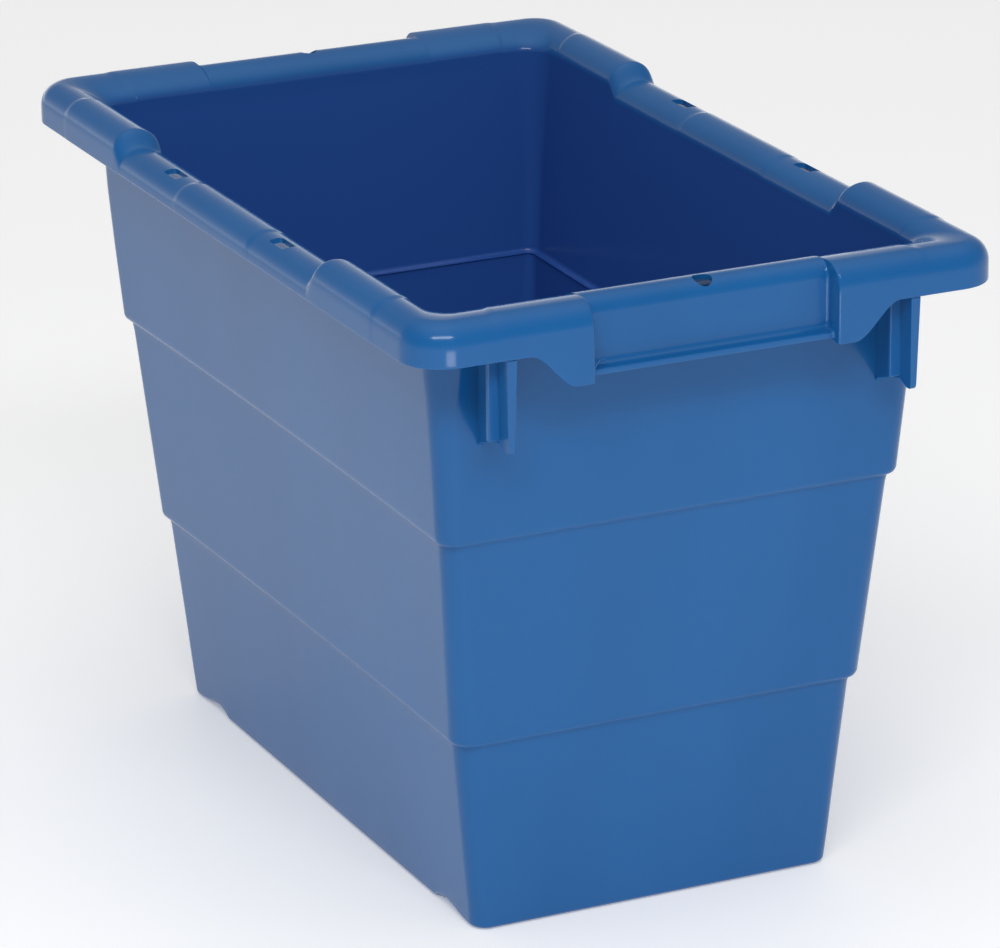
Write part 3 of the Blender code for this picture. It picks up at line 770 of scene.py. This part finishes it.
def flash_curl(material):
    """Hair of moulding flash that curls off the foot of the front right tab."""
    path = [(HX - 1.6 * MM, -TAB_EDGE - 0.6 * MM, TAB_Z + 2.4 * MM),
            (HX - 2.6 * MM, -TAB_EDGE + 0.6 * MM, TAB_Z + 5.4 * MM),
            (HX - 3.6 * MM, -TAB_EDGE + 2.6 * MM, TAB_Z + 8.2 * MM),
            (HX - 4.2 * MM, -TAB_EDGE + 5.0 * MM, TAB_Z + 9.6 * MM),
            (HX - 4.4 * MM, -TAB_EDGE + 7.0 * MM, TAB_Z + 8.8 * MM),
            (HX - 4.3 * MM, -TAB_EDGE + 7.4 * MM, TAB_Z + 7.4 * MM)]
    curve = bpy.data.curves.new("flash_curl", "CURVE")
    curve.dimensions, curve.bevel_depth, curve.bevel_resolution = "3D", FLASH_R, 3
    curve.use_fill_caps = True
    spline = curve.splines.new("NURBS")
    spline.points.add(len(path) - 1)
    for point, place in zip(spline.points, path):
        point.co = (*place, 1.0)
    spline.use_endpoint_u, spline.order_u, spline.resolution_u = True, 4, 8
    curve.materials.append(material)
    obj = bpy.data.objects.new("flash_curl", curve)
    bpy.context.scene.collection.objects.link(obj)
    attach(obj, "root")


def adopt(obj, cad_node):
    """The piece moves with the one body and stands for its CAD node."""
    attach(obj, "root")
    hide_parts(cad_node)


def build_tub():
    plastic = polypropylene("blue_polypropylene")
    mesh, names = finished_skin()
    for name, obj in split_by_part(mesh, names, plastic).items():
        adopt(obj, name)
    for end, sx in (("front", 1), ("rear", -1)):
        for side, sy in (("left", 1), ("right", -1)):
            name = f"stop_rib_{end}_{side}"
            adopt(stop_rib(name, sx, sy, plastic), name)
    flash_curl(plastic)


# ---------------------------------------------------------------- stage, light and camera

FLOOR_REACH = 4.0
FLOOR_GAP = 0.5 * MM
FLOOR_GLOW = 0.27
SKY = {"base": 0.24, "horizon": 0.1, "left": 0.4, "rear": 1.5, "front": 0.1, "top": 1.0}
HORIZON_DEPTH = 0.16
LOBE_SHARPNESS = 3.0
ZENITH_SHARPNESS = 4.0

# each lamp: the point it faces, heading and rise in degrees, distance, size, radiance
KEY = ((0.22, -0.12, 0.297), -22.0, 44.0, 1.8, (1.5, 0.30), 11.5)
LOW_CARD = ((0.22, -0.12, 0.288), -2.4, -18.1, 0.5, (0.18, 0.04), 9.0)

AZIMUTH, ELEVATION, ROLL = math.radians(64.87), math.radians(19.21), math.radians(-0.62)
CAMERA_DISTANCE = 2.6273
LENS, SENSOR = 203.8, 36.0
AIM_Z = 0.150
AIM_SHIFT = (2.37 * MM, -0.83 * MM)


def build_floor():
    """Pale sweep, faintly lit from below like a light table, so shadows stay soft."""
    mesh = bpy.data.meshes.new("floor")
    r = FLOOR_REACH
    mesh.from_pydata([(-r, -r, 0), (r, -r, 0), (r, r, 0), (-r, r, 0)], [], [(0, 1, 2, 3)])
    floor = bpy.data.objects.new("floor", mesh)
    bpy.context.scene.collection.objects.link(floor)
    mat = bpy.data.materials.new("pale_floor")
    mat.use_nodes = True
    shader = mat.node_tree.nodes["Principled BSDF"]
    shader.inputs["Base Color"].default_value = (0.9, 0.9, 0.9, 1.0)
    shader.inputs["Roughness"].default_value = 0.6
    shader.inputs["Emission Color"].default_value = (1.0, 1.0, 1.0, 1.0)
    shader.inputs["Emission Strength"].default_value = FLOOR_GLOW
    mesh.materials.append(mat)
    floor.location.z = -FLOOR_GAP


def area_light(name, aim, heading, rise, distance, size, radiance):
    """Rectangular lamp that faces aim from a heading and rise in degrees."""
    turn, lift = math.radians(heading), math.radians(rise)
    away = Vector((math.cos(turn) * math.cos(lift), math.sin(turn) * math.cos(lift),
                   math.sin(lift)))
    data = bpy.data.lights.new(name, "AREA")
    data.shape, data.size, data.size_y = "RECTANGLE", size[0], size[1]
    data.energy = radiance * math.pi * size[0] * size[1]
    lamp = bpy.data.objects.new(name, data)
    lamp.location = Vector(aim) + away * distance
    lamp.rotation_euler = away.to_track_quat("Z", "Y").to_euler()
    lamp.visible_camera = False
    bpy.context.scene.collection.objects.link(lamp)


def build_sky():
    """Studio surroundings: brightest near the horizon, behind the tub and to its left."""
    world = bpy.data.worlds.new("studio")
    world.use_nodes = True
    tree = world.node_tree
    coords = node(tree, "ShaderNodeTexCoord", (-1500, 0))
    split = node(tree, "ShaderNodeSeparateXYZ", (-1300, 0))
    link(tree, coords, "Generated", split, "Vector")

    def calc(operation, a, b):
        made = node(tree, "ShaderNodeMath", operation=operation)
        for socket, value in zip(made.inputs, (a, b)):
            if isinstance(value, float):
                socket.default_value = value
            else:
                tree.links.new(value, socket)
        return made.outputs[0]

    def lobe(axis, sign, strength):
        facing = calc("MAXIMUM", calc("MULTIPLY", split.outputs[axis], sign), 0.0)
        return calc("MULTIPLY", calc("POWER", facing, LOBE_SHARPNESS), strength)

    height = calc("MAXIMUM", split.outputs["Z"], 0.0)
    near_horizon = calc("POWER", math.e, calc("DIVIDE", height, -HORIZON_DEPTH))
    low = calc("ADD", lobe("Y", 1.0, SKY["left"]), lobe("X", -1.0, SKY["rear"]))
    low = calc("ADD", low, lobe("X", 1.0, SKY["front"]))
    low = calc("MULTIPLY", calc("ADD", low, SKY["horizon"]), near_horizon)
    high = calc("MULTIPLY", calc("POWER", height, ZENITH_SHARPNESS), SKY["top"])
    total = calc("ADD", calc("ADD", low, high), SKY["base"])
    tree.links.new(total, tree.nodes["Background"].inputs["Strength"])
    tree.nodes["Background"].inputs["Color"].default_value = (1.0, 1.0, 1.0, 1.0)
    bpy.context.scene.world = world


def build_light():
    build_sky()
    area_light("key", *KEY)
    area_light("low_card", *LOW_CARD)


def build_camera():
    """Long lens that looks down over the front right corner, at the photograph's angle."""
    ca, sa = math.cos(AZIMUTH), math.sin(AZIMUTH)
    ce, se = math.cos(ELEVATION), math.sin(ELEVATION)
    back = Vector((sa * ce, -ca * ce, se))
    right = Vector((ca, sa, 0.0))
    up = back.cross(right)
    right, up = (right * math.cos(ROLL) + up * math.sin(ROLL),
                 up * math.cos(ROLL) - right * math.sin(ROLL))
    aim = Vector((0.0, 0.0, AIM_Z)) + right * AIM_SHIFT[0] + up * AIM_SHIFT[1]
    data = bpy.data.cameras.new("camera")
    data.lens, data.sensor_width = LENS, SENSOR
    cam = bpy.data.objects.new("camera", data)
    turn = Matrix((right, up, back)).transposed().to_4x4()
    cam.matrix_world = Matrix.Translation(aim + back * CAMERA_DISTANCE) @ turn
    bpy.context.scene.collection.objects.link(cam)
    bpy.context.scene.camera = cam


build_camera()
build_tub()
build_floor()
build_light()
bpy.context.scene.view_settings.view_transform = "Standard"
